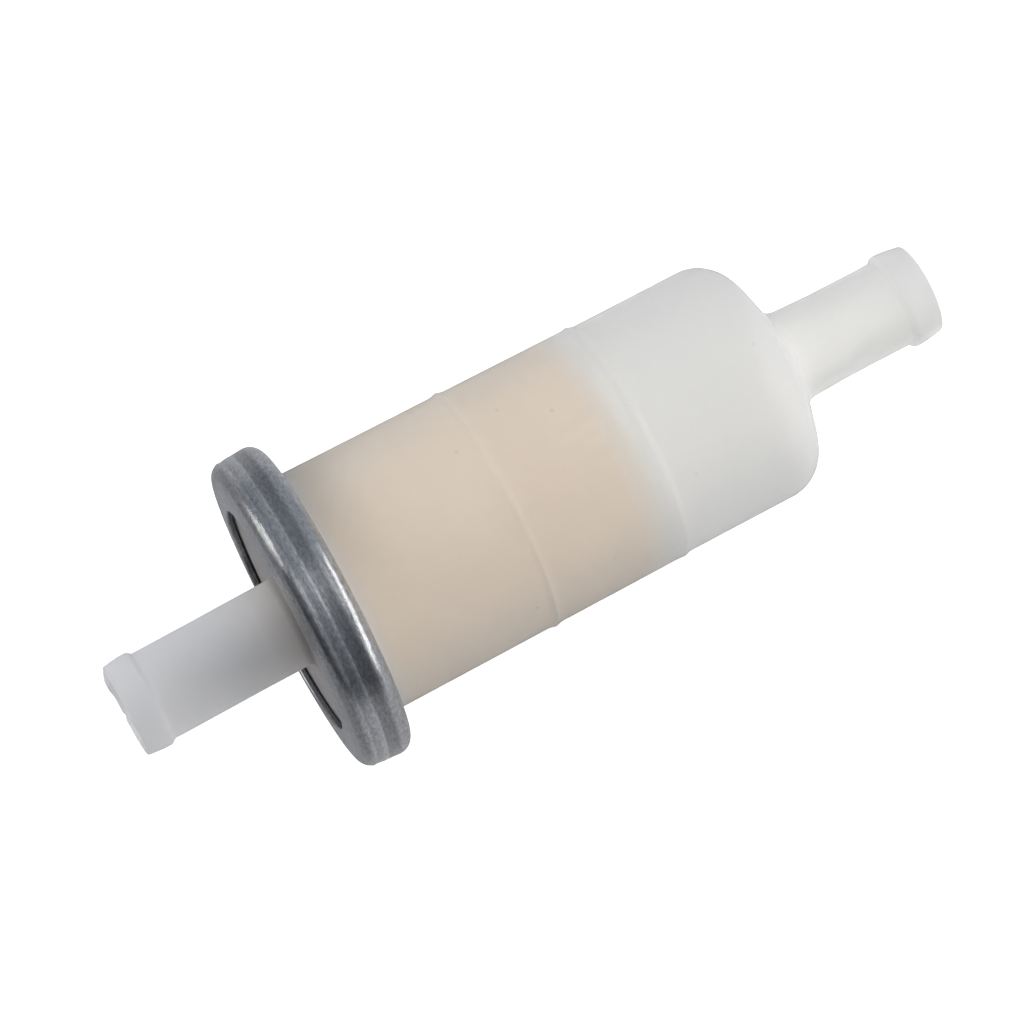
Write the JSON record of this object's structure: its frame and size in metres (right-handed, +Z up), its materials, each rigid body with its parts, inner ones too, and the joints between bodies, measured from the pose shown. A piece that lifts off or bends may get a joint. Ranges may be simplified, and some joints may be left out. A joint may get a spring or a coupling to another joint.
{
  "type": "fuel filter",
  "caption": "In-line fuel filter: a milky translucent nylon housing and end cap with hose barbs, closed by a rolled steel ring round a pleated paper element.",
  "frame": {"origin": "centre of the bounding box, on the filter's axis midway between the tips of its two barbs", "axes": "+X along the filter's axis, from the outlet barb on the end cap to the inlet barb on the housing; +Z up"},
  "size_m": [0.0968, 0.0362, 0.0362],
  "materials": {
    "housing_nylon": "milky translucent, smooth with a soft gloss",
    "cap_nylon": "milky translucent, smooth with a soft gloss",
    "zinc_steel": "dull zinc plating with fine lines round it from the rolling",
    "seal_rubber": "smooth black nitrile",
    "filter_paper": "fibrous, resin-cured",
    "seam_glue": "cured glue",
    "core_plastic": "plain moulded nylon",
    "disc_plastic": "plain moulded nylon",
    "potting_glue": "cured glue"
  },
  "bodies": {
    "root": {"housing": "housing_nylon", "end_cap": "cap_nylon", "crimp_ring": "zinc_steel", "flange_seal": "seal_rubber", "element_seal": "seal_rubber", "filter_paper": "filter_paper", "paper_seam": "seam_glue", "element_core": "core_plastic", "open_end_disc": "disc_plastic", "closed_end_disc": "disc_plastic", "open_end_potting": "potting_glue", "closed_end_potting": "potting_glue"}
  },
  "joints": []
}
